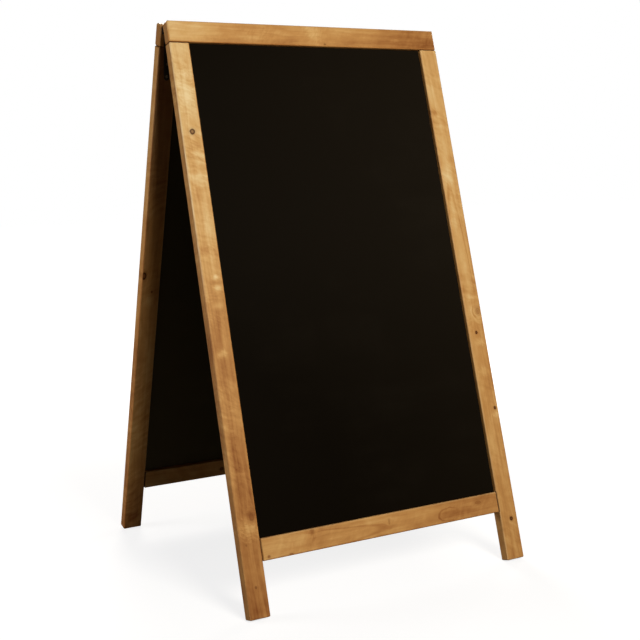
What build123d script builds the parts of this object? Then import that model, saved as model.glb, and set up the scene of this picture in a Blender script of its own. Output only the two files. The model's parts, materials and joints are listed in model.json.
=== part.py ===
"""Sandwich board: two framed chalk panels hinged together at the top and standing open.

Millimetres, +Z up, +X to the right and the front towards -Y. The origin is on the ground,
midway between the front feet and the rear feet.

Each leaf is drawn in its own plane, which lies on the leaf's inner face: x runs across the
leaf, y runs up it from the feet and z points outwards through the timber. The rear leaf is the
front leaf turned half a turn about Z, so both come from the same functions.
"""

from build123d import *
import os
from math import cos, radians, sin, tan

# Timber frame of each leaf
leaf_height = 1250.0
leaf_width = 693.0
timber = 24.0
stile_width = 46.0
top_rail_height = 48.0
bottom_rail_height = 45.0
leg_length = 108.0
arris = 3.0
end_chamfer = 3.0  # round each jointed end, so that every joint shows a V groove
lean = radians(15.4)

# Panel and the groove that holds it
panel_thickness = 5.0
panel_engagement = 8.0
groove_width = 5.2
groove_depth = 9.0

# Dowelled joints; the insets are from a stile's inner edge and from the bottom rail's lower edge
dowel_radius = 4.0
dowel_hole_radius = 4.05
dowel_chamfer = 1.0
glue_gap = 1.0
top_dowel_length = 32.0
top_dowel_insets = (14.5, 33.0)
bottom_dowel_length = 40.0
bottom_dowel_insets = (8.5, 25.5)

# Hinge: drops are below the leaf's top edge, offsets are inwards from its inner face
plate = 2.2
head_top_drop = 0.5
shoulder_drop = 20.0
strap_width = 27.2
strap_tip_drop = 115.0
strap_tip_radius = 6.0
knuckle_radius = 6.5
knuckle_stack = 28.0
centre_knuckle = 9.0
knuckle_gap = 0.3
notch_clearance = 0.5
fixed_bore_radius = 3.02
running_bore_radius = 3.06
pin_drop = 10.0
pin_offset = 7.5
pin_radius = 3.0
pin_head_radius = 4.2
pin_head_length = 1.0
pin_head_rounding = 0.7

# Stop tabs, which meet on the middle plane when the board is fully open
tab_clearance = 0.4  # from the pin's heads
tab_lift = 0.5  # lower edge above the pin's axis
stop_gap = 0.05

# Countersunk screws
screw_drops = (26.0, 58.0, 85.0, 112.0)
screw_length = 16.0
screw_radius = 1.75
screw_head_radius = 3.5
screw_head_rim = 0.4
screw_tip = 3.0
screw_clearance = 0.08
recess_length = 3.6
recess_width = 1.0
recess_depth = 1.2

# Worked out from the sizes above
stile_length = leaf_height - top_rail_height
stile_centre = (leaf_width - stile_width) / 2
opening = leaf_width - 2 * stile_width
panel_low = leg_length + bottom_rail_height
groove_low = panel_low - groove_depth
screw_hole_radius = screw_radius + screw_clearance
screw_neck = screw_head_rim + screw_head_radius - screw_radius
tab_start = knuckle_stack / 2 + pin_head_length + tab_clearance
tab_end = tab_start + plate
notch_drop = pin_drop + knuckle_radius + notch_clearance
foot_setback = (leaf_height - pin_drop) * sin(lean) + pin_offset * cos(lean)
foot_sink = arris * (cos(lean) + sin(lean) - 1)  # sharp foot edge below the rounded one

front = Plane(
    origin=(0, -foot_setback, -foot_sink),
    x_dir=(1, 0, 0),
    z_dir=(0, -cos(lean), sin(lean)),
)
rear = Plane(
    origin=(0, foot_setback, -foot_sink),
    x_dir=(-1, 0, 0),
    z_dir=(0, cos(lean), sin(lean)),
)


def top_joint(leaf):
    """Where the top rail sits on the stiles: x across the leaf, z up it, y = 0 in mid-timber."""
    origin = leaf.from_local_coords(Vector(0, stile_length, timber / 2))
    return Plane(origin=origin, x_dir=leaf.x_dir, z_dir=leaf.y_dir)


def bottom_joint(leaf, side):
    """A bottom rail's end: x up the leaf from the rail's lower edge, z into the stile."""
    origin = leaf.from_local_coords(Vector(side * opening / 2, leg_length, timber / 2))
    return Plane(origin=origin, x_dir=leaf.y_dir, z_dir=leaf.x_dir * side)


def hinge_face(leaf, side):
    """A stile's inner face at the hinge: x across, y down from the top edge, z inwards."""
    origin = leaf.from_local_coords(Vector(side * stile_centre, leaf_height, 0))
    return Plane(origin=origin, x_dir=leaf.x_dir, z_dir=-leaf.z_dir)


def hinge_section(face, across, drop, offset):
    """A section through a hinge, square to its pin: x down the leaf, y inwards from it."""
    origin = face.from_local_coords(Vector(across, drop, offset))
    return Plane(origin=origin, x_dir=face.y_dir, z_dir=face.x_dir)


def tab_reach(lift):
    """How far inwards a stop tab reaches, at a given height up the leaf from the pin's axis."""
    return pin_offset - lift * tan(lean) - stop_gap / cos(lean)


def make_top_rail(leaf):
    """Full-width rail that lies over the stile ends; its groove stops short of both its ends."""
    along = Axis(leaf.origin, leaf.x_dir)
    with BuildPart() as rail:
        with BuildSketch(leaf):
            with Locations((0, leaf_height - top_rail_height / 2)):
                Rectangle(leaf_width, top_rail_height)
        extrude(amount=timber)
        chamfer(rail.edges().filter_by(along, reverse=True), end_chamfer)
        fillet(rail.edges().filter_by(along), arris)
        with BuildSketch(top_joint(leaf)):
            Rectangle(opening + 2 * groove_depth, groove_width)
        extrude(amount=groove_depth, mode=Mode.SUBTRACT)
        with BuildSketch(top_joint(leaf)):
            for side in (-1, 1):
                with Locations(*[(side * (opening / 2 + inset), 0) for inset in top_dowel_insets]):
                    Circle(dowel_hole_radius)
        extrude(amount=top_dowel_length / 2 + glue_gap, mode=Mode.SUBTRACT)
        for side in (-1, 1):
            with BuildSketch(hinge_face(leaf, side)):
                with Locations((0, screw_drops[0])):
                    Circle(screw_hole_radius)
            extrude(amount=-screw_length, mode=Mode.SUBTRACT)
    return rail


def make_stile(leaf, side):
    """Upright that runs on below the bottom rail as a leg; its groove ends behind that rail."""
    edge = side * opening / 2
    along = Axis(leaf.origin, leaf.y_dir)
    with BuildPart() as stile:
        with BuildSketch(leaf):
            with Locations((side * stile_centre, stile_length / 2)):
                Rectangle(stile_width, stile_length)
        extrude(amount=timber)
        chamfer(stile.edges().filter_by(along, reverse=True).group_by(along)[-1], end_chamfer)
        foot_edges = stile.edges().filter_by(along, reverse=True).group_by(along)[0]
        fillet(stile.edges().filter_by(along) + foot_edges, arris)
        with BuildSketch(leaf.offset((timber - groove_width) / 2)):
            with Locations((edge + side * groove_depth / 2, (groove_low + stile_length) / 2)):
                Rectangle(groove_depth, stile_length - groove_low)
        extrude(amount=groove_width, mode=Mode.SUBTRACT)
        with BuildSketch(top_joint(leaf)):
            with Locations(*[(edge + side * inset, 0) for inset in top_dowel_insets]):
                Circle(dowel_hole_radius)
        extrude(amount=-top_dowel_length / 2 - glue_gap, mode=Mode.SUBTRACT)
        with BuildSketch(bottom_joint(leaf, side)):
            with Locations(*[(inset, 0) for inset in bottom_dowel_insets]):
                Circle(dowel_hole_radius)
        extrude(amount=bottom_dowel_length / 2 + glue_gap, mode=Mode.SUBTRACT)
        with BuildSketch(hinge_face(leaf, side)):
            with Locations(*[(0, drop) for drop in screw_drops[1:]]):
                Circle(screw_hole_radius)
        extrude(amount=-screw_length, mode=Mode.SUBTRACT)
    return stile


def make_bottom_rail(leaf):
    """Rail between the stiles, grooved along its top edge and drilled at its ends."""
    along = Axis(leaf.origin, leaf.x_dir)
    with BuildPart() as rail:
        with BuildSketch(leaf):
            with Locations((0, leg_length + bottom_rail_height / 2)):
                Rectangle(opening, bottom_rail_height)
        extrude(amount=timber)
        chamfer(rail.edges().filter_by(along, reverse=True), end_chamfer)
        fillet(rail.edges().filter_by(along), arris)
        with BuildSketch(leaf.offset((timber - groove_width) / 2)):
            with Locations((0, panel_low - groove_depth / 2)):
                Rectangle(opening, groove_depth)
        extrude(amount=groove_width, mode=Mode.SUBTRACT)
        for side in (-1, 1):
            with BuildSketch(bottom_joint(leaf, side)):
                with Locations(*[(inset, 0) for inset in bottom_dowel_insets]):
                    Circle(dowel_hole_radius)
            extrude(amount=-bottom_dowel_length / 2 - glue_gap, mode=Mode.SUBTRACT)
    return rail


def make_chalk_panel(leaf):
    """Thin board held in the grooves on all four sides."""
    low = panel_low - panel_engagement
    high = stile_length + panel_engagement
    with BuildPart() as panel:
        with BuildSketch(leaf.offset((timber - panel_thickness) / 2)):
            with Locations((0, (low + high) / 2)):
                Rectangle(opening + 2 * panel_engagement, high - low)
        extrude(amount=panel_thickness)
    return panel


def make_top_dowels(leaf):
    """Four dowels, two from each stile's top end up into the top rail."""
    with BuildPart() as dowels:
        with BuildSketch(top_joint(leaf).offset(-top_dowel_length / 2)):
            for side in (-1, 1):
                with Locations(*[(side * (opening / 2 + inset), 0) for inset in top_dowel_insets]):
                    Circle(dowel_radius)
        extrude(amount=top_dowel_length)
        chamfer(dowels.edges().filter_by(GeomType.CIRCLE), dowel_chamfer)
    return dowels


def make_bottom_dowels(leaf):
    """Four dowels, two from each end of the bottom rail into the stiles."""
    with BuildPart() as dowels:
        for side in (-1, 1):
            with BuildSketch(bottom_joint(leaf, side).offset(-bottom_dowel_length / 2)):
                with Locations(*[(inset, 0) for inset in bottom_dowel_insets]):
                    Circle(dowel_radius)
            extrude(amount=bottom_dowel_length)
        chamfer(dowels.edges().filter_by(GeomType.CIRCLE), dowel_chamfer)
    return dowels


def make_hinge_leaf(leaf, side, knuckles, bore_radius):
    """Tapered strap with its knuckles, notches for the other leaf's knuckles, and stop tabs.

    knuckles is "outer" for the leaf with a knuckle at each end of the pin, "centre" for the other.
    """
    face = hinge_face(leaf, side)
    outer_knuckle = (knuckle_stack - centre_knuckle) / 2 - knuckle_gap
    outer_middle = (knuckle_stack - outer_knuckle) / 2
    own, others = [0], [-outer_middle, outer_middle]
    length, notch = centre_knuckle, outer_knuckle + 2 * knuckle_gap
    if knuckles == "outer":
        own, others = others, own
        length, notch = outer_knuckle, centre_knuckle + 2 * knuckle_gap
    with BuildPart() as hinge:
        with BuildSketch(face):
            with BuildLine():
                Line((-strap_width / 2, shoulder_drop), (strap_width / 2, shoulder_drop))
                CenterArc((0, strap_tip_drop), strap_tip_radius, 0, 360)
            make_hull()
            with Locations((0, (head_top_drop + shoulder_drop) / 2)):
                Rectangle(2 * tab_end, shoulder_drop - head_top_drop)
            with Locations(*[(middle, notch_drop / 2) for middle in others]):
                Rectangle(notch, notch_drop, mode=Mode.SUBTRACT)
        extrude(amount=plate)
        for middle in own:
            section = hinge_section(face, middle - length / 2, pin_drop, pin_offset)
            with BuildSketch(section):
                Circle(knuckle_radius)
            extrude(amount=length)
        with BuildSketch(hinge_section(face, -knuckle_stack / 2, pin_drop, pin_offset)):
            Circle(bore_radius)
        extrude(amount=knuckle_stack, mode=Mode.SUBTRACT)
        for start in (-tab_end, tab_start):
            with BuildSketch(hinge_section(face, start, 0, 0)):
                with BuildLine():
                    Polyline(
                        (head_top_drop, 0),
                        (head_top_drop, tab_reach(pin_drop - head_top_drop)),
                        (pin_drop - tab_lift, tab_reach(tab_lift)),
                        (pin_drop - tab_lift, 0),
                        close=True,
                    )
                make_face()
            extrude(amount=plate)
        with Locations(face.offset(plate)):
            with Locations(*[(0, drop) for drop in screw_drops]):
                CounterSinkHole(
                    radius=screw_hole_radius,
                    counter_sink_radius=screw_head_radius + screw_head_rim + screw_clearance,
                    depth=plate,
                    counter_sink_angle=90,
                )
    return hinge


def make_hinge_pin(side):
    """Round pin with a peened head at each end of the knuckles."""
    height = front.from_local_coords(Vector(0, leaf_height - pin_drop, -pin_offset)).Z
    middle = Plane(origin=(side * stile_centre, 0, height), x_dir=(0, 1, 0), z_dir=(1, 0, 0))
    with BuildPart() as pin:
        for end in (-1, 1):
            with BuildSketch(middle.offset(end * knuckle_stack / 2)):
                Circle(pin_head_radius)
            extrude(amount=end * pin_head_length)
        fillet(pin.edges().group_by(Axis.X)[0], pin_head_rounding)
        fillet(pin.edges().group_by(Axis.X)[-1], pin_head_rounding)
        with BuildSketch(middle):
            Circle(pin_radius)
        extrude(amount=knuckle_stack / 2, both=True)
    return pin


def make_hinge_screws(leaf, side):
    """Countersunk wood screws with cross recesses, their heads flush with the strap."""
    face = hinge_face(leaf, side).offset(plate)
    with BuildPart() as screws:
        for drop in screw_drops:
            head = face.from_local_coords(Vector(0, drop, 0))
            with BuildSketch(Plane(origin=head, x_dir=face.x_dir, z_dir=face.y_dir)):
                with BuildLine():
                    Polyline(
                        (0, 0),
                        (screw_head_radius, 0),
                        (screw_head_radius, screw_head_rim),
                        (screw_radius, screw_neck),
                        (screw_radius, screw_length - screw_tip),
                        (0, screw_length),
                        close=True,
                    )
                make_face()
            revolve(axis=Axis(head, face.z_dir))
        with BuildSketch(face):
            with Locations(*[(0, drop) for drop in screw_drops]):
                Rectangle(recess_length, recess_width)
                Rectangle(recess_width, recess_length)
        extrude(amount=-recess_depth, mode=Mode.SUBTRACT)
    return screws


def save(piece, name):
    """Label a finished piece and write it to its own file."""
    piece.part.label = name
    export_step(piece.part, f"parts/{name}.step")


os.makedirs("parts", exist_ok=True)

# The names count left and right as seen from the front, so the rear leaf's sides swap over
for name, leaf, knuckles, bore_radius in (
    ("front", front, "outer", fixed_bore_radius),
    ("rear", rear, "centre", running_bore_radius),
):
    save(make_top_rail(leaf), f"{name}_top_rail")
    save(make_bottom_rail(leaf), f"{name}_bottom_rail")
    save(make_chalk_panel(leaf), f"{name}_chalk_panel")
    save(make_top_dowels(leaf), f"{name}_top_dowels")
    save(make_bottom_dowels(leaf), f"{name}_bottom_dowels")
    for side in (-1, 1):
        hand = "left" if side * leaf.x_dir.X < 0 else "right"
        save(make_stile(leaf, side), f"{name}_{hand}_stile")
        save(make_hinge_leaf(leaf, side, knuckles, bore_radius), f"{hand}_hinge_{name}_leaf")
        save(make_hinge_screws(leaf, side), f"{hand}_hinge_{name}_screws")

for side, hand in ((-1, "left"), (1, "right")):
    save(make_hinge_pin(side), f"{hand}_hinge_pin")
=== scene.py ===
"""Sandwich board: materials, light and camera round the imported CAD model.

Every piece of the board is rigid, so the CAD nodes themselves are shown, each with a procedural
material laid out in that piece's own axes. Metres, in the frame of the CAD model.
"""

import json
from math import pi, radians
from typing import NamedTuple

import bpy
from mathutils import Matrix, Vector

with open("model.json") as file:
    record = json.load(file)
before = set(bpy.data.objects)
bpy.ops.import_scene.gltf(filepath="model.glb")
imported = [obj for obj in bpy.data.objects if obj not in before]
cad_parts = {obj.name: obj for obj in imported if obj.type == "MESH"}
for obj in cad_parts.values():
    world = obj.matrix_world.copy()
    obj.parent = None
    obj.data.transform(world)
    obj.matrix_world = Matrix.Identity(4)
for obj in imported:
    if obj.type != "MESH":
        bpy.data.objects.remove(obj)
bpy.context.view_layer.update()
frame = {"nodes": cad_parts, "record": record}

nodes = frame["nodes"]
mounts = {mount["name"]: mount for mount in frame["record"]["mounts"]}


# ---------------------------------------------------------------- the leaves' own axes


class Leaf:
    """One leaf's axes: across it, up it and outwards, measured from its top edge's middle."""

    def __init__(self, name, across):
        self.name = name
        self.across = Vector(across)
        self.up = -Vector(mounts[f"{name}_left_foot"]["axis"]).normalized()
        self.outward = self.across.cross(self.up)
        rail_middle, rail_half = self.extent(f"{name}_top_rail")
        self.top = rail_middle + self.up * rail_half.y
        self.rail_drop = 2 * rail_half.y
        low_rail_middle, low_rail_half = self.extent(f"{name}_bottom_rail")
        self.half_opening = low_rail_half.x
        self.low_rail_drop = (self.top - low_rail_middle).dot(self.up)
        self.low_rail_half = low_rail_half.y

    def point(self, across, drop):
        """A point given as its distance right of the middle and below the top."""
        return self.top + self.across * across - self.up * drop

    def extent(self, node):
        """The middle and the half sizes of a node, along the leaf's axes."""
        to_leaf = Matrix((self.across, self.up, self.outward))
        points = [to_leaf @ vertex.co for vertex in nodes[node].data.vertices]
        low = Vector(min(point[axis] for point in points) for axis in range(3))
        high = Vector(max(point[axis] for point in points) for axis in range(3))
        return to_leaf.transposed() @ ((low + high) / 2), (high - low) / 2


front = Leaf("front", (1, 0, 0))
rear = Leaf("rear", (-1, 0, 0))


# ---------------------------------------------------------------- node helpers


class Graph:
    """A node tree with short calls for the nodes that the materials use."""

    def __init__(self, tree):
        self.tree = tree

    def add(self, kind, **settings):
        node = self.tree.nodes.new(kind)
        for name, value in settings.items():
            setattr(node, name, value)
        return node

    def feed(self, socket, value):
        """Link a socket's value, or set a plain one."""
        if isinstance(value, bpy.types.NodeSocket):
            self.tree.links.new(value, socket)
        else:
            socket.default_value = value

    def math(self, operation, *values, clamp=False):
        node = self.add("ShaderNodeMath", operation=operation, use_clamp=clamp)
        for socket, value in zip(node.inputs, values):
            self.feed(socket, value)
        return node.outputs[0]

    def total(self, first, *rest):
        """The sum of any number of sockets and plain values."""
        for value in rest:
            first = self.math("ADD", first, value)
        return first

    def product(self, first, *rest):
        """The product of any number of sockets and plain values."""
        for value in rest:
            first = self.math("MULTIPLY", first, value)
        return first

    def vector(self, operation, *values):
        node = self.add("ShaderNodeVectorMath", operation=operation)
        for socket, value in zip(node.inputs, values):
            self.feed(socket, value)
        return node.outputs["Value" if operation in ("LENGTH", "DOT_PRODUCT") else "Vector"]

    def split(self, vector):
        node = self.add("ShaderNodeSeparateXYZ")
        self.feed(node.inputs[0], vector)
        return node.outputs

    def join(self, x, y, z):
        node = self.add("ShaderNodeCombineXYZ")
        for socket, value in zip(node.inputs, (x, y, z)):
            self.feed(socket, value)
        return node.outputs[0]

    def noise(self, vector, per_metre=(1, 1, 1), shift=0.0, detail=2.0, roughness=0.5):
        """Noise from about 0 to 1: its features per metre along each axis, and a shift as its seed."""
        stretched = self.vector("MULTIPLY", vector, per_metre)
        moved = self.vector("ADD", stretched, (shift, 2 * shift, -shift))
        node = self.add("ShaderNodeTexNoise")
        self.feed(node.inputs["Vector"], moved)
        node.inputs["Scale"].default_value = 1.0
        node.inputs["Detail"].default_value = detail
        node.inputs["Roughness"].default_value = roughness
        return node.outputs["Fac"]

    def centred(self, *args, **kwargs):
        """Noise from about -1 to 1."""
        return self.math("MULTIPLY_ADD", self.noise(*args, **kwargs), 2.0, -1.0)

    def fade(self, value, start, end, low=0.0, high=1.0):
        """A smooth step from low at start to high at end."""
        node = self.add("ShaderNodeMapRange", interpolation_type="SMOOTHSTEP")
        for socket, given in zip(node.inputs, (value, start, end, low, high)):
            self.feed(socket, given)
        return node.outputs[0]

    def ramp(self, value, *stops):
        """A colour ramp; each stop is a place from 0 to 1 and a colour."""
        node = self.add("ShaderNodeValToRGB")
        while len(node.color_ramp.elements) < len(stops):
            node.color_ramp.elements.new(1.0)
        for element, (place, colour) in zip(node.color_ramp.elements, stops):
            element.position = place
            element.color = (*colour, 1.0)
        self.feed(node.inputs[0], value)
        return node.outputs[0]

    def mix(self, factor, first, second):
        """The first colour at factor 0, and the second at 1."""
        node = self.add("ShaderNodeMix", data_type="RGBA")
        self.feed(node.inputs[0], factor)
        for socket, value in zip((node.inputs[6], node.inputs[7]), (first, second)):
            self.feed(socket, (*value, 1.0) if isinstance(value, tuple) else value)
        return node.outputs[2]

    def bump(self, height, distance, strength):
        node = self.add("ShaderNodeBump")
        node.inputs["Strength"].default_value = strength
        node.inputs["Distance"].default_value = distance
        self.feed(node.inputs["Height"], height)
        return node.outputs[0]


def new_material(name, **constants):
    """A material with one Principled shader, and its graph."""
    material = bpy.data.materials.new(name)
    material.use_nodes = True
    graph = Graph(material.node_tree)
    shader = material.node_tree.nodes["Principled BSDF"]
    for socket, value in constants.items():
        shader.inputs[socket.replace("_", " ")].default_value = value
    return material, graph, shader


def dress(node, material):
    """Give a CAD node its material."""
    data = nodes[node].data
    data.materials.clear()
    data.materials.append(material)


# ---------------------------------------------------------------- timber

# Stained wood from its palest to its darkest, then worn edges in painted shade, the rims of knots, and
# painted shade for inner faces
CREAM_WOOD = (0.88, 0.680, 0.370)
PALE_WOOD = (0.80, 0.560, 0.260)
LIGHT_WOOD = (0.70, 0.412, 0.150)
MID_WOOD = (0.57, 0.286, 0.088)
BROWN_WOOD = (0.43, 0.187, 0.053)
DARK_WOOD = (0.26, 0.086, 0.020)
RUBBED_SHADED_WOOD = (0.54, 0.215, 0.050)
KNOT_WOOD = (0.070, 0.022, 0.006)
SHADE_WOOD = (0.085, 0.068, 0.052)
STAIN = (CREAM_WOOD, PALE_WOOD, LIGHT_WOOD, MID_WOOD, BROWN_WOOD, DARK_WOOD)

RING_GAP = 0.0042
PITH_DEPTH = 0.055
# How wide the grain opens round a knot, and how far along it does so, in knot radii
KNOT_OPENING = 1.4
KNOT_RUN = 3.5


class Tip(NamedTuple):
    """Where a tongue of the grain ends, how fast its rings slant away, and its outline's tone."""

    across: float
    drop: float
    slant: float
    mark: float = 0.10


class Knot(NamedTuple):
    """A knot, with how dark its heart and its rim are, and its length along the grain, in radii."""

    across: float
    drop: float
    radius: float
    dark: float
    rim: float
    length: float = 1.2


class Patch(NamedTuple):
    """A cloudy patch, its half sizes in metres, of darker or, with a negative value, paler wood."""

    across: float
    drop: float
    wide: float
    long: float
    darker: float


class Loop(NamedTuple):
    """A rounded end of a growth ring, open on the side that lies further along the timber."""

    across: float
    drop: float
    wide: float
    long: float
    darker: float


class Figure(NamedTuple):
    """The figure of one timber, in tones from 0, pale, to 1, dark.

    Slopes are tones per metre along the timber; the side slope is painted shade. The inner values hold
    for its inner face only and are painted shade. The outer left edge carries a painted highlight from
    a given place on, in metres past the timber's middle.
    """

    seed: float
    tone: float
    slope: float
    tip: Tip
    knots: tuple = ()
    patches: tuple = ()
    loops: tuple = ()
    shimmer: float = 1.0
    highlight_from: float | None = None
    side: float = 0.16
    side_shade_slope: float = 0.0
    inner_shade_slope: float = 0.0
    inner_painted_shade: float = 0.0
    inner_foot_shade: float = 0.0


class Timber:
    """A timber's axes in its material: x across its face, y along its grain and z outwards."""

    def __init__(self, graph, leaf, node, along_leaf, figure):
        self.graph = graph
        self.leaf = leaf
        self.figure = figure
        self.middle, half = leaf.extent(node)
        if along_leaf:
            self.axes = (leaf.across, leaf.up, leaf.outward)
            self.half = Vector(half)
        else:
            self.axes = (-leaf.up, leaf.across, leaf.outward)
            self.half = Vector((half.y, half.x, half.z))
        place = graph.add("ShaderNodeMapping", vector_type="TEXTURE")
        graph.feed(place.inputs["Vector"], graph.add("ShaderNodeTexCoord").outputs["Object"])
        place.inputs["Location"].default_value = self.middle
        place.inputs["Rotation"].default_value = Matrix(self.axes).transposed().to_euler()
        self.here = place.outputs[0]
        self.x, self.y, self.z = graph.split(self.here)

        # 1 on its two sides, and on its inner face
        from_middle = graph.math("ABSOLUTE", self.x)
        self.side = graph.fade(from_middle, self.half.x - 0.003, self.half.x - 0.0005)
        self.inner = graph.fade(self.z, 0.002 - self.half.z, 0.0005 - self.half.z)

    def spot(self, mark):
        """A mark's place along x and y."""
        offset = self.leaf.point(mark.across, mark.drop) - self.middle
        return offset.dot(self.axes[0]), offset.dot(self.axes[1])

    def from_mark(self, mark):
        """How far past a mark a point lies along the grain, and how far from it, in mark sizes."""
        graph = self.graph
        mark_x, mark_y = self.spot(mark)
        across = graph.math("DIVIDE", graph.math("SUBTRACT", self.x, mark_x), mark.wide)
        along = graph.math("DIVIDE", graph.math("SUBTRACT", self.y, mark_y), mark.long)
        return along, graph.vector("LENGTH", graph.join(across, along, 0.0))

    def part_round(self, knot, x):
        """Let the grain part round a knot: the bent x, and the distance in knot radii."""
        graph = self.graph
        knot_x, knot_y = self.spot(knot)
        dx = graph.math("SUBTRACT", x, knot_x)
        dy = graph.math("SUBTRACT", self.y, knot_y)
        reach = graph.math("DIVIDE", dy, KNOT_RUN * knot.radius * knot.length)
        pushed = graph.math("EXPONENT", graph.product(reach, reach, -1.0))
        width = (KNOT_OPENING * knot.radius) ** 2
        inner = graph.math("SUBTRACT", graph.product(dx, dx), graph.product(pushed, width))
        bent = graph.math("SQRT", graph.math("MAXIMUM", inner, 0.0))
        bent_x = graph.math("MULTIPLY_ADD", graph.math("SIGN", dx), bent, knot_x)
        across = graph.math("DIVIDE", dx, knot.radius)
        along = graph.math("DIVIDE", dy, knot.radius * knot.length)
        return bent_x, graph.vector("LENGTH", graph.join(across, along, 0.0))

    def bend_grain(self):
        """Grain that parts round the knots and wanders slowly; also the distances to the knots."""
        graph, seed = self.graph, self.figure.seed
        bent_x = self.x
        from_knots = []
        for knot in self.figure.knots:
            bent_x, distance = self.part_round(knot, bent_x)
            from_knots.append(distance)
        bent_x = graph.total(
            bent_x,
            graph.product(graph.centred(self.here, (6, 2.2, 6), seed, 2.0), 0.014),
            graph.product(graph.centred(self.here, (22, 9, 22), seed + 9.1, 2.0), 0.0035),
        )
        wander = graph.centred(self.here, (5, 1.5, 5), seed + 31.7)
        bent_z = graph.math("MULTIPLY_ADD", wander, 0.0025, self.z)
        return graph.join(bent_x, self.y, bent_z), bent_x, bent_z, from_knots

    def growth_rings(self, bent_x, bent_z):
        """Late wood, and the outline of a tongue: rings round a pith that slants under the face."""
        graph, seed = self.graph, self.figure.seed
        tip_x, tip_y = self.spot(self.figure.tip)
        past_tip = graph.math("SUBTRACT", self.y, tip_y)
        beside_pith = graph.math("SUBTRACT", bent_x, tip_x)
        sunk = graph.product(past_tip, self.figure.tip.slant)
        over_pith = graph.total(sunk, bent_z, PITH_DEPTH - self.half.z)
        from_pith = graph.vector("LENGTH", graph.join(beside_pith, 0.0, over_pith))
        rings = graph.math("MULTIPLY_ADD", from_pith, 1 / RING_GAP, -PITH_DEPTH / RING_GAP)
        ring = graph.math("FRACT", rings)
        late = graph.product(graph.fade(ring, 0.25, 0.90), graph.fade(ring, 1.0, 0.90))
        strength = graph.noise(graph.join(rings, seed, 0.0), (0.6, 1, 1), seed, 1.0)
        late = graph.product(late, graph.fade(strength, 0.32, 0.68, 0.15, 1.0))
        outline = graph.product(
            graph.fade(graph.math("ABSOLUTE", rings), 0.16, 0.02),
            graph.fade(graph.math("ABSOLUTE", past_tip), 0.32, 0.14),
        )
        return late, outline

    def face_tone(self):
        """The plain tone: darker on the sides, with a painted shade slope along them, and painted
        shade on the inner face, sloping along it and deeper at its foot.
        """
        graph, figure, y = self.graph, self.figure, self.y
        face = graph.math("SUBTRACT", 1.0, graph.math("MAXIMUM", self.side, self.inner))
        # Painted shade: the slope along the sides, and the inner face's tone, slope and darker foot
        side_tone_and_shade = graph.math("MULTIPLY_ADD", y, figure.side_shade_slope, figure.side)
        inner_shade_tone = graph.math("MULTIPLY_ADD", y, figure.inner_shade_slope, 0.12)
        foot_shade = graph.fade(y, -0.38, -0.58, 0.0, figure.inner_foot_shade)
        return graph.total(
            figure.tone,
            graph.product(y, figure.slope, face),
            graph.product(self.side, side_tone_and_shade),
            graph.product(self.inner, inner_shade_tone),
            graph.product(self.inner, foot_shade),
        )

    def slanted(self):
        """The place with a slanted and wavy y, for marks that run across the grain."""
        graph = self.graph
        waves = graph.centred(self.here, (14, 9, 14), self.figure.seed + 61.0)
        slanted_y = graph.total(self.y, graph.product(self.x, 0.5), graph.product(waves, 0.025))
        return graph.join(self.x, slanted_y, self.z)

    def marks(self, slanted):
        """The tones that the patches and loops add."""
        graph, seed = self.graph, self.figure.seed
        tones = []
        ragged = graph.centred(slanted, (110, 200, 110), seed + 51.0, 4.0, 0.65)
        for patch in self.figure.patches:
            _, away = self.from_mark(patch)
            away = graph.total(away, graph.product(ragged, 1.3))
            tones.append(graph.product(graph.fade(away, 1.6, 0.0), patch.darker))
        for loop in self.figure.loops:
            along, away = self.from_mark(loop)
            uneven = graph.centred(self.here, (60, 60, 60), seed + 71.0)
            away = graph.total(away, graph.product(uneven, 0.30))
            off_line = graph.math("ABSOLUTE", graph.math("SUBTRACT", away, 1.0))
            line = graph.fade(off_line, 0.16, 0.02)
            tones.append(graph.product(line, graph.fade(along, 0.8, 0.1), loop.darker))
        return graph.total(0.0, *tones)

    def paint_knots(self, colour, from_knots):
        """Knots: a shadow in the grain, a ringed brown heart and a dark rim, faint on the sides."""
        graph = self.graph
        off_side = graph.math("MULTIPLY_ADD", self.side, -0.85, 1.0)
        uneven = graph.centred(self.here, (240, 240, 240), self.figure.seed, 2.0)
        for distance, knot in zip(from_knots, self.figure.knots):
            rough = graph.total(distance, graph.product(uneven, 0.25))
            shadow = graph.product(graph.fade(rough, 2.6, 0.8), off_side, 0.5 * knot.dark)
            colour = graph.mix(shadow, colour, DARK_WOOD)
            turns = graph.math("SINE", graph.product(rough, 9.0))
            turns = graph.fade(turns, -1.0, 1.0, 0.55, 1.0)
            heart = graph.product(graph.fade(rough, 1.15, 0.90), turns, off_side, knot.dark)
            colour = graph.mix(heart, colour, DARK_WOOD)
            ringed = graph.fade(rough, 0.30, 0.75, 0.35, 1.0)
            rim = graph.product(graph.fade(rough, 1.35, 1.05), ringed, off_side, knot.rim)
            colour = graph.mix(rim, colour, KNOT_WOOD)
        return colour

    def edge_distance(self):
        """How far a surface point is from the nearest sharp edge: the middle one of its depths."""
        graph = self.graph
        depths = [
            graph.math("SUBTRACT", size, graph.math("ABSOLUTE", part))
            for part, size in zip((self.x, self.y, self.z), self.half)
        ]
        least = graph.math("MINIMUM", depths[0], depths[1])
        most = graph.math("MAXIMUM", depths[0], depths[1])
        return graph.math("MINIMUM", most, graph.math("MAXIMUM", least, depths[2]))

    def wear_edges(self, colour):
        """Edges rubbed bare, with a painted highlight along the upper and left ones and redder painted
        shade along the others.
        """
        graph, figure = self.graph, self.figure
        edge = graph.fade(self.edge_distance(), 0.0040, 0.0006)
        worn = graph.noise(self.here, (90, 30, 90), figure.seed + 2.2, 2.0)
        rubbed = graph.product(edge, graph.fade(worn, 0.25, 0.75, 0.15, 0.50))
        highlight_edge = PALE_WOOD
        if figure.highlight_from is not None:
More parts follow.
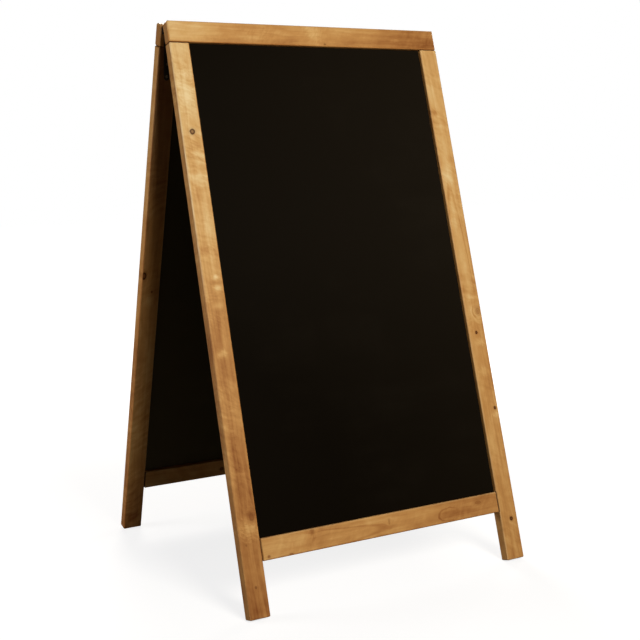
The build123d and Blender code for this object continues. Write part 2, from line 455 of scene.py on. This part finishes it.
            # The outer left edge carries a stronger painted highlight above the given place and is
            # dull below it
            highlight_edge = CREAM_WOOD
            low, high = figure.highlight_from - 0.08, figure.highlight_from + 0.08
            outer_left = graph.product(graph.fade(self.x, 0.0, -0.004), graph.fade(self.z, 0.0, 0.004))
            more = graph.fade(self.y, low, high, -0.9, 0.8)
            gain = graph.math("MULTIPLY_ADD", outer_left, more, 1.0)
            rubbed = graph.math("MULTIPLY", rubbed, gain, clamp=True)
        # Painted light on the worn edges: pale highlight on the left and upper ones, redder shade on
        # the others
        bare = graph.mix(graph.fade(self.x, -0.004, 0.004), highlight_edge, RUBBED_SHADED_WOOD)
        return graph.mix(rubbed, colour, bare)

    def find_joints(self):
        """How near a point is to a joint of the frame: 1 on its line, and 0 a few millimetres off."""
        graph, leaf = self.graph, self.leaf
        here = graph.add("ShaderNodeTexCoord").outputs["Object"]
        from_top = graph.vector("SUBTRACT", here, tuple(leaf.top))
        across = graph.math("ABSOLUTE", graph.vector("DOT_PRODUCT", from_top, tuple(leaf.across)))
        drop = graph.vector("DOT_PRODUCT", from_top, tuple(-leaf.up))
        over_stile = graph.math("GREATER_THAN", across, leaf.half_opening)
        to_top = graph.math("ABSOLUTE", graph.math("SUBTRACT", drop, leaf.rail_drop))
        to_rail_end = graph.math("ABSOLUTE", graph.math("SUBTRACT", across, leaf.half_opening))
        from_low_rail = graph.math("ABSOLUTE", graph.math("SUBTRACT", drop, leaf.low_rail_drop))
        beside_rail = graph.math("LESS_THAN", from_low_rail, leaf.low_rail_half)
        top_joint = graph.product(graph.fade(to_top, 0.0020, 0.0006), over_stile)
        low_joint = graph.product(graph.fade(to_rail_end, 0.0034, 0.0008), beside_rail)
        return graph.math("MAXIMUM", top_joint, low_joint)


def make_timber(leaf, node, along_leaf, figure):
    """Stained and varnished softwood: growth rings cut by the faces, fibres, knots, end grain."""
    material, graph, shader = new_material(
        f"stained_wood_{node}",
        Specular_IOR_Level=0.08,
        Coat_Weight=0.05,
        Coat_Roughness=0.30,
        Coat_IOR=1.5,
    )
    timber = Timber(graph, leaf, node, along_leaf, figure)
    here, seed, half = timber.here, figure.seed, timber.half
    grain, bent_x, bent_z, from_knots = timber.bend_grain()
    late, outline = timber.growth_rings(bent_x, bent_z)
    slanted = timber.slanted()

    # Streaks and fibres along the grain, cloudy stain, and soft shimmer across the grain
    streaks = graph.centred(grain, (140, 5.0, 140), seed + 3.1, 3.0, 0.55)
    broad = graph.centred(grain, (48, 1.6, 48), seed + 27.4, 2.0)
    fibres = graph.centred(grain, (900, 24, 900), seed + 7.9, 2.0)
    pores = graph.fade(graph.noise(grain, (1500, 60, 1500), seed + 5.5, 1.0), 0.66, 0.78)
    clouds = graph.centred(here, (30, 13, 30), seed + 12.3, 4.0, 0.6)
    shimmer = graph.centred(slanted, (24, 70, 24), seed + 23.0, 3.0, 0.6)
    curly = graph.fade(graph.noise(here, (4, 7, 4), seed + 41.0, 1.0), 0.42, 0.62, 0.15, 1.0)
    shade = graph.total(
        timber.face_tone(),
        timber.marks(slanted),
        graph.product(late, 0.08),
        graph.product(outline, figure.tip.mark),
        graph.product(streaks, 0.19),
        graph.product(broad, 0.20),
        graph.product(fibres, 0.07),
        graph.product(clouds, 0.36),
        graph.product(shimmer, curly, 0.42 * figure.shimmer),
    )

    # Tone 0 is pale wood, one step up the ramp, because cream wood lies below it
    step = 1 / (len(STAIN) - 1)
    stops = [(index * step, stain) for index, stain in enumerate(STAIN)]
    colour = graph.ramp(graph.math("MULTIPLY_ADD", shade, 1 - step, step), *stops)
    colour = graph.mix(graph.product(pores, 0.30), colour, BROWN_WOOD)
    # Painted shade: the inner face darkens towards its top
    painted_shade = graph.product(timber.inner, graph.fade(timber.y, 0.1, 0.5, 0.0, figure.inner_painted_shade))
    colour = graph.mix(painted_shade, colour, SHADE_WOOD)
    colour = timber.paint_knots(colour, from_knots)

    # End grain drinks the stain. The joints are darker from stain gathered in them and from painted
    # shade, deepest in their grooves
    past_end = graph.fade(graph.math("ABSOLUTE", timber.y), half.y - 0.0030, half.y - 0.0006)
    colour = graph.mix(graph.product(past_end, 0.75), colour, BROWN_WOOD)
    colour = timber.wear_edges(colour)
    groove_stain_and_shade = graph.fade(timber.z, half.z - 0.003, half.z, 0.95, 0.32)
    colour = graph.mix(graph.product(timber.find_joints(), groove_stain_and_shade), colour, KNOT_WOOD)
    graph.feed(shader.inputs["Base Color"], colour)

    roughness = graph.total(
        0.46,
        graph.product(late, -0.06),
        graph.product(fibres, 0.05),
        graph.product(clouds, 0.08),
        graph.product(pores, 0.12),
    )
    graph.feed(shader.inputs["Roughness"], roughness)
    relief = graph.total(
        graph.product(late, 0.5),
        graph.product(fibres, 0.35),
        graph.product(pores, -0.6),
        graph.product(streaks, 0.25),
    )
    graph.feed(shader.inputs["Normal"], graph.bump(relief, 0.00012, 0.7))
    dress(node, material)


# Set to follow the photo. Places are metres right of the leaf's middle and below its top, as
# seen from outside the leaf. The marks that the photo doesn't show are invented.
FRONT_WOOD = {
    "top_rail": Figure(
        seed=4.3,
        tone=0.485,
        slope=0.82,
        tip=Tip(-0.030, 0.034, 0.024),
        knots=(Knot(0.0375, 0.0435, 0.0020, 0.5, 0.3),),
        shimmer=0.45,
        patches=(
            Patch(-0.310, 0.012, 0.016, 0.060, -0.05),
            Patch(-0.200, 0.024, 0.050, 0.090, 0.12),
            Patch(-0.060, 0.026, 0.020, 0.070, 0.05),
            Patch(0.010, 0.014, 0.024, 0.018, -0.22),
            Patch(0.110, 0.024, 0.050, 0.090, -0.12),
            Patch(0.270, 0.024, 0.040, 0.090, 0.12),
            Patch(0.232, 0.028, 0.004, 0.012, -0.20),
        ),
    ),
    "bottom_rail": Figure(
        seed=11.9,
        tone=0.50,
        slope=0.40,
        tip=Tip(0.0200, 1.124, 0.020, 0.20),
        shimmer=0.45,
        knots=(
            Knot(-0.1800, 1.1020, 0.0045, 0.5, 0.0, 0.8),
            Knot(0.0070, 1.1150, 0.0050, 0.40, 0.0, 0.40),
            Knot(0.2450, 1.1120, 0.0035, 0.6, 0.0, 2.2),
            Knot(-0.2860, 1.1350, 0.0022, 0.7, 0.2),
            Knot(-0.2350, 1.1395, 0.0020, 0.6, 0.2, 2.0),
        ),
        patches=(
            Patch(-0.1800, 1.1100, 0.013, 0.006, 0.22),
            Patch(-0.1450, 1.1250, 0.040, 0.070, 0.10),
            Patch(0.2150, 1.1250, 0.040, 0.060, 0.10),
        ),
        loops=(Loop(0.1660, 1.1245, 0.0140, 0.0300, 0.20),),
    ),
    "left_stile": Figure(
        seed=21.4,
        tone=0.42,
        slope=-0.60,
        tip=Tip(-0.2960, 0.660, -0.020, 0.06),
        knots=(
            Knot(-0.3225, 0.2470, 0.0052, 0.50, 0.85, 1.05),
            Knot(-0.3125, 1.0520, 0.0050, 0.60, 0.10, 1.5),
            Knot(-0.3325, 1.1050, 0.0017, 0.5, 0.2),
            Knot(-0.3245, 1.1890, 0.0020, 0.5, 0.4),
        ),
        patches=(
            Patch(-0.3260, 0.1600, 0.020, 0.045, -0.30),
            Patch(-0.3130, 0.2960, 0.016, 0.011, -0.28),
            Patch(-0.3300, 0.3450, 0.014, 0.022, -0.15),
            Patch(-0.3180, 0.4600, 0.010, 0.050, -0.20),
            Patch(-0.3160, 0.5600, 0.008, 0.006, -0.42),
            Patch(-0.3180, 0.5720, 0.014, 0.005, 0.12),
            Patch(-0.3140, 0.5830, 0.011, 0.007, -0.42),
            Patch(-0.3200, 0.6200, 0.012, 0.008, -0.32),
            Patch(-0.3260, 0.7200, 0.012, 0.010, -0.42),
            Patch(-0.3290, 0.9400, 0.008, 0.050, 0.10),
            Patch(-0.3210, 1.0740, 0.022, 0.019, -0.40),
            Patch(-0.3135, 1.0500, 0.010, 0.014, 0.20),
            Patch(-0.3235, 0.7150, 0.060, 0.120, 0.17),
            Patch(-0.3250, 0.5300, 0.030, 0.026, -0.10),
            Patch(-0.3250, 0.6300, 0.030, 0.026, 0.10),
            Patch(-0.3250, 0.9900, 0.030, 0.040, 0.10),
        ),
        shimmer=1.5,
        side=0.18,
        side_shade_slope=-0.15,
        highlight_from=0.10,
    ),
    "right_stile": Figure(
        seed=35.2,
        tone=0.38,
        slope=-0.24,
        tip=Tip(0.3155, 0.375, 0.020, 0.22),
        knots=(
            Knot(0.3365, 0.6850, 0.0056, 0.48, 0.0, 1.3),
            Knot(0.3220, 0.7345, 0.0026, 1.0, 1.0, 1.1),
            Knot(0.3370, 0.9110, 0.0027, 1.0, 1.0, 1.1),
            Knot(0.3290, 1.1610, 0.0035, 1.0, 1.0, 1.1),
        ),
        patches=(
            Patch(0.3110, 0.2050, 0.012, 0.008, 0.30),
            Patch(0.3150, 0.3420, 0.014, 0.035, -0.20),
            Patch(0.3365, 0.7040, 0.014, 0.005, -0.24),
            Patch(0.3290, 0.7580, 0.014, 0.008, -0.24),
            Patch(0.3240, 0.8250, 0.013, 0.012, -0.16),
            Patch(0.3370, 0.9260, 0.010, 0.006, -0.24),
            Patch(0.3250, 0.3350, 0.030, 0.024, 0.10),
            Patch(0.3250, 0.4400, 0.030, 0.040, -0.16),
            Patch(0.3250, 0.7150, 0.030, 0.020, 0.16),
            Patch(0.3250, 1.0700, 0.030, 0.040, -0.08),
        ),
        loops=(
            Loop(0.3385, 0.6860, 0.0170, 0.0200, 0.16),
            Loop(0.3385, 0.6860, 0.0210, 0.0270, -0.16),
            Loop(0.3380, 0.6860, 0.0120, 0.0130, -0.14),
        ),
    ),
}
REAR_WOOD = {
    "top_rail": Figure(
        seed=64.8,
        tone=0.44,
        slope=0.10,
        tip=Tip(0.080, 0.020, 0.016),
        knots=(Knot(-0.120, 0.028, 0.0045, 0.7, 0.7),),
        shimmer=0.5,
    ),
    "bottom_rail": Figure(
        seed=71.2,
        tone=0.42,
        slope=-0.10,
        tip=Tip(-0.060, 1.118, 0.013),
        knots=(Knot(0.090, 1.122, 0.0040, 0.8, 0.6),),
        shimmer=0.5,
    ),
    "right_stile": Figure(
        seed=83.9,
        tone=0.40,
        slope=0.10,
        tip=Tip(-0.326, 0.520, 0.013),
        knots=(Knot(-0.3180, 0.8300, 0.0045, 0.6, 0.5), Knot(-0.3260, 0.2400, 0.0030, 0.8, 0.7)),
        patches=(Patch(-0.322, 0.860, 0.012, 0.012, -0.25),),
    ),
    "left_stile": Figure(
        seed=95.6,
        tone=0.40,
        slope=-0.20,
        tip=Tip(0.322, 0.700, -0.014),
        knots=(Knot(0.3420, 0.5770, 0.0050, 1.0, 1.0, 1.6), Knot(0.3200, 0.6180, 0.0018, 0.8, 0.6)),
        patches=(Patch(0.325, 0.640, 0.013, 0.012, -0.15),),
        side=0.22,
        side_shade_slope=-0.28,
        inner_shade_slope=0.3,
        inner_painted_shade=0.45,
        inner_foot_shade=0.36,
    ),
}

for leaf, figures in ((front, FRONT_WOOD), (rear, REAR_WOOD)):
    for part, figure in figures.items():
        make_timber(leaf, f"{leaf.name}_{part}", part.endswith("stile"), figure)


# ---------------------------------------------------------------- panels, dowels and fittings


BLACK_PAINT = (0.0038, 0.0024, 0.0009)
WORN_PAINT_AND_SHEEN = (0.0118, 0.0088, 0.0054)
THIN_DUST_AND_FILL = (0.026, 0.023, 0.009)
THICK_DUST_AND_FILL = (0.092, 0.076, 0.042)


def make_blackboard(leaf, inner_dust_and_fill):
    """Matt black paint with faint rubbings of old chalk and a painted sheen, and dust with painted
    fill light and shade on its inner side.
    """
    node = f"{leaf.name}_chalk_panel"
    material, graph, shader = new_material("chalkboard_paint_" + leaf.name, Specular_IOR_Level=0.02)
    here = graph.add("ShaderNodeTexCoord").outputs["Object"]
    across = graph.vector("DOT_PRODUCT", here, leaf.across)
    height = graph.vector("DOT_PRODUCT", here, leaf.up)
    clouds = graph.noise(here, (5, 5, 3), 8.0, 4.0, 0.6)
    wiped = graph.noise(here, (3, 30, 10), 19.0, 3.0, 0.6)
    speckle = graph.noise(here, (900, 900, 900), 3.0, 2.0)
    dust = graph.product(graph.fade(clouds, 0.42, 0.80), graph.fade(wiped, 0.35, 0.75))
    marks = graph.total(graph.product(dust, 0.40), graph.product(speckle, 0.20))

    # Painted sheen makes the outer side lighter to the right, and painted light makes it lighter
    # above, but not at the very top
    worn = graph.total(
        marks,
        graph.product(across, 1.10),
        graph.fade(height, 0.15, 0.75, 0.0, 0.42),
        graph.fade(height, 1.00, 1.20, 0.0, -0.14),
    )
    outer = graph.ramp(worn, (0.0, BLACK_PAINT), (1.0, WORN_PAINT_AND_SHEEN))
    # The inner side: dust lightened as painted fill light, and darker towards its top as painted shade
    inner_dust_and_shade = graph.total(marks, graph.product(across, 1.5), graph.product(height, -0.64), 0.5)
    thin, thick = (tuple(inner_dust_and_fill * part for part in dusty) for dusty in (THIN_DUST_AND_FILL, THICK_DUST_AND_FILL))
    inner = graph.ramp(inner_dust_and_shade, (0.0, thin), (1.0, thick))
    out = graph.vector("DOT_PRODUCT", here, leaf.outward)
    middle = leaf.extent(node)[0].dot(leaf.outward)
    inwards = graph.fade(out, middle + 0.001, middle - 0.001)
    graph.feed(shader.inputs["Base Color"], graph.mix(inwards, outer, inner))
    graph.feed(shader.inputs["Roughness"], graph.total(0.58, graph.product(dust, 0.14)))
    texture = graph.total(speckle, graph.product(graph.noise(here, (240, 240, 240), 1.0, 2.0), 0.8))
    graph.feed(shader.inputs["Normal"], graph.bump(texture, 0.00010, 0.6))
    dress(node, material)


def make_beech():
    """Plain pale wood of the dowels, with fine short fibres."""
    material, graph, shader = new_material("beech", Specular_IOR_Level=0.3)
    here = graph.add("ShaderNodeTexCoord").outputs["Object"]
    fibres = graph.noise(here, (700, 700, 700), 2.0, 3.0)
    broad = graph.noise(here, (60, 60, 60), 5.0, 2.0)
    shade = graph.total(graph.product(fibres, 0.6), graph.product(broad, 0.4))
    graph.feed(
        shader.inputs["Base Color"],
        graph.ramp(shade, (0.25, (0.44, 0.27, 0.135)), (0.75, (0.62, 0.43, 0.25))),
    )
    graph.feed(shader.inputs["Roughness"], graph.fade(fibres, 0.2, 0.8, 0.55, 0.75))
    graph.feed(shader.inputs["Normal"], graph.bump(fibres, 0.0001, 0.5))
    return material


def make_coated_steel():
    """Black satin coating over rolled steel: orange peel, dust and rubbed spots."""
    material, graph, shader = new_material("black_coated_steel", Specular_IOR_Level=0.45)
    here = graph.add("ShaderNodeTexCoord").outputs["Object"]
    peel = graph.noise(here, (420, 420, 420), 1.0, 2.0)
    dust = graph.noise(here, (55, 55, 55), 6.0, 4.0, 0.62)
    rubbed = graph.fade(graph.noise(here, (130, 130, 130), 9.0, 5.0, 0.7), 0.66, 0.74)
    colour = graph.ramp(dust, (0.3, (0.012, 0.0115, 0.011)), (0.8, (0.034, 0.032, 0.030)))
    colour = graph.mix(graph.product(rubbed, 0.5), colour, (0.16, 0.155, 0.15))
    graph.feed(shader.inputs["Base Color"], colour)
    graph.feed(shader.inputs["Metallic"], graph.product(rubbed, 0.7))
    graph.feed(shader.inputs["Roughness"], graph.fade(dust, 0.2, 0.8, 0.36, 0.56))
    graph.feed(shader.inputs["Normal"], graph.bump(peel, 0.00008, 0.5))
    return material


def make_bright_steel(name, tint, rough):
    """Plated steel with fine scratches and cloudy dulling."""
    material, graph, shader = new_material(name, Metallic=1.0)
    here = graph.add("ShaderNodeTexCoord").outputs["Object"]
    scratches = graph.noise(here, (2600, 300, 300), 4.0, 3.0, 0.6)
    clouds = graph.noise(here, (240, 240, 240), 2.0, 3.0)
    dull = tuple(0.62 * part for part in tint)
    graph.feed(shader.inputs["Base Color"], graph.ramp(clouds, (0.3, dull), (0.7, tint)))
    graph.feed(shader.inputs["Roughness"], graph.fade(scratches, 0.2, 0.8, rough - 0.08, rough + 0.10))
    graph.feed(shader.inputs["Normal"], graph.bump(scratches, 0.00002, 0.5))
    return material


make_blackboard(front, inner_dust_and_fill=0.22)
make_blackboard(rear, inner_dust_and_fill=1.0)
beech = make_beech()
coated_steel = make_coated_steel()
zinc = make_bright_steel("zinc_plated_steel", (0.66, 0.66, 0.63), 0.30)
pin_steel = make_bright_steel("bright_steel", (0.50, 0.49, 0.47), 0.34)
for node in nodes:
    if node.endswith("_dowels"):
        dress(node, beech)
    elif node.endswith("_screws"):
        dress(node, zinc)
    elif node.endswith("_hinge_pin"):
        dress(node, pin_steel)
    elif "_hinge_" in node:
        dress(node, coated_steel)


# ---------------------------------------------------------------- floor, light and camera


WARM = (1.0, 0.95, 0.87)
COOL = (1.0, 0.97, 1.0)


def make_floor(name, material, height):
    """A flat square of floor, far wider than the board."""
    reach = 14.0
    data = bpy.data.meshes.new(name)
    corners = ((-reach, -reach), (reach, -reach), (reach, reach), (-reach, reach))
    data.from_pydata([(x, y, height) for x, y in corners], [], [(0, 1, 2, 3)])
    data.materials.append(material)
    floor = bpy.data.objects.new(name, data)
    bpy.context.scene.collection.objects.link(floor)
    return floor


def make_stage():
    """A white floor that shows soft shadows, and a dim one that throws a little light back up."""
    pale, graph, shader = new_material("pale_floor", Roughness=0.9, Specular_IOR_Level=0.0)
    shader.inputs["Base Color"].default_value = (0.30, 0.30, 0.30, 1)
    shader.inputs["Emission Color"].default_value = (1, 1, 1, 1)
    away = graph.vector("LENGTH", graph.add("ShaderNodeTexCoord").outputs["Object"])
    graph.feed(shader.inputs["Emission Strength"], graph.fade(away, 0.8, 2.2, 0.80, 1.05))
    seen = make_floor("floor", pale, 0.0)
    seen.visible_diffuse = False
    seen.visible_glossy = False
    seen.visible_shadow = False
    dim, graph, shader = new_material("dim_floor", Roughness=0.9, Specular_IOR_Level=0.0)
    shader.inputs["Base Color"].default_value = (0.14, 0.135, 0.12, 1)
    bounce = make_floor("floor_bounce", dim, -0.002)
    bounce.visible_camera = False


def make_world():
    """A plain white surround that gives no light of its own."""
    world = bpy.data.worlds.new("studio")
    bpy.context.scene.world = world
    world.use_nodes = True
    world.node_tree.nodes["Background"].inputs["Color"].default_value = (1, 1, 1, 1)
    world.cycles_visibility.diffuse = False
    world.cycles_visibility.glossy = False


def add_light(name, place, target, size, power, colour):
    """A soft round lamp, its size in metres and its power in watts."""
    data = bpy.data.lights.new(name, "AREA")
    data.shape = "DISK"
    data.size = size
    data.energy = power
    data.color = colour
    light = bpy.data.objects.new(name, data)
    light.location = place
    light.rotation_euler = (Vector(target) - Vector(place)).to_track_quat("-Z", "Y").to_euler()
    bpy.context.scene.collection.objects.link(light)


# From a pinhole camera fitted to the photo's straight edges: the eye is below the board's top and
# to its left, turned right and looking slightly down
EYE = (-1.3315, -2.3453, 0.9146)
HEADING = radians(28.911)
DIP = radians(5.158)
ROLL = radians(1.183)
LENS = 65.31
SHIFT = (0.0427, -0.0906)


def make_camera():
    data = bpy.data.cameras.new("camera")
    data.lens = LENS
    data.shift_x, data.shift_y = SHIFT
    camera = bpy.data.objects.new("camera", data)
    camera.matrix_world = (
        Matrix.Translation(EYE)
        @ Matrix.Rotation(-HEADING, 4, "Z")
        @ Matrix.Rotation(pi / 2 - DIP, 4, "X")
        @ Matrix.Rotation(-ROLL, 4, "Z")
    )
    bpy.context.scene.collection.objects.link(camera)
    bpy.context.scene.camera = camera


make_stage()
make_world()
add_light("key", (-0.10, -3.0, 1.95), target=(0, -0.1, 0.65), size=1.2, power=88, colour=WARM)
add_light("left", (-2.0, 0.60, 0.75), target=(0, 0, 0.6), size=1.0, power=17, colour=COOL)
add_light("back", (0.9, 3.0, 2.2), target=(0, 0.1, 0.6), size=1.4, power=70, colour=WARM)
add_light("right", (3.0, 1.4, 1.4), target=(0, 0, 0.6), size=1.4, power=30, colour=WARM)
make_camera()
bpy.context.scene.view_settings.view_transform = "Standard"
